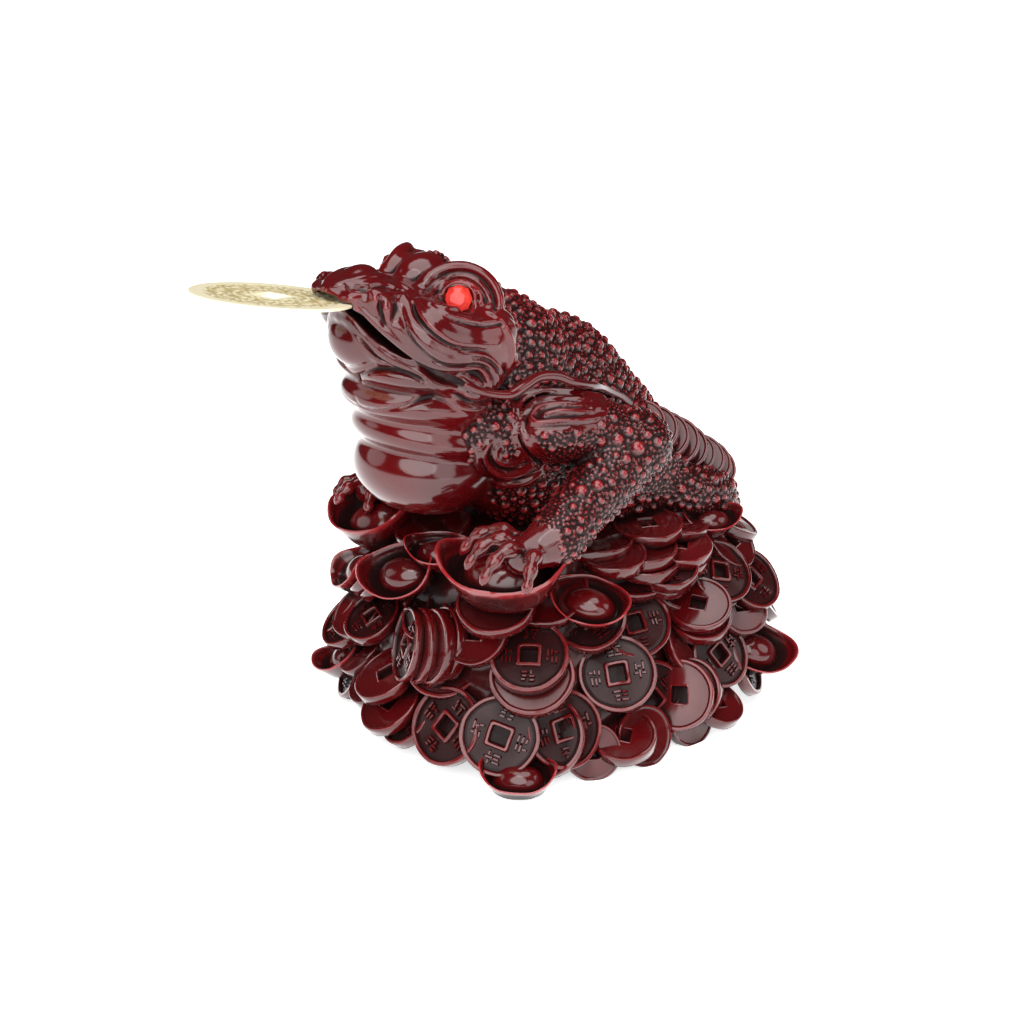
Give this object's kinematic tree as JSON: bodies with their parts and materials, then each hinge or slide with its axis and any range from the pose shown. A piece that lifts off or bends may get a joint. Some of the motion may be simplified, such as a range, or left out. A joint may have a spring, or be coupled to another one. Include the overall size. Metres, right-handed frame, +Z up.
{
  "type": "money toad figure",
  "caption": "Cast three-legged toad squatting on a heap of holed coins and ingots, with a loose brass coin in its mouth and red gem eyes.",
  "frame": {"origin": "on the underside, below the middle of the heap, at the height of the surface it stands on", "axes": "+Z up, -Y the way the toad faces, +X to the toad's left"},
  "size_m": [0.0842, 0.1356, 0.1044],
  "materials": {
    "resin": "gloss",
    "brass": "satin",
    "gem": "gloss"
  },
  "bodies": {
    "root": {"resin_figure": "resin", "brass_coin": "brass", "left_gem_eye": "gem", "right_gem_eye": "gem"}
  },
  "joints": []
}
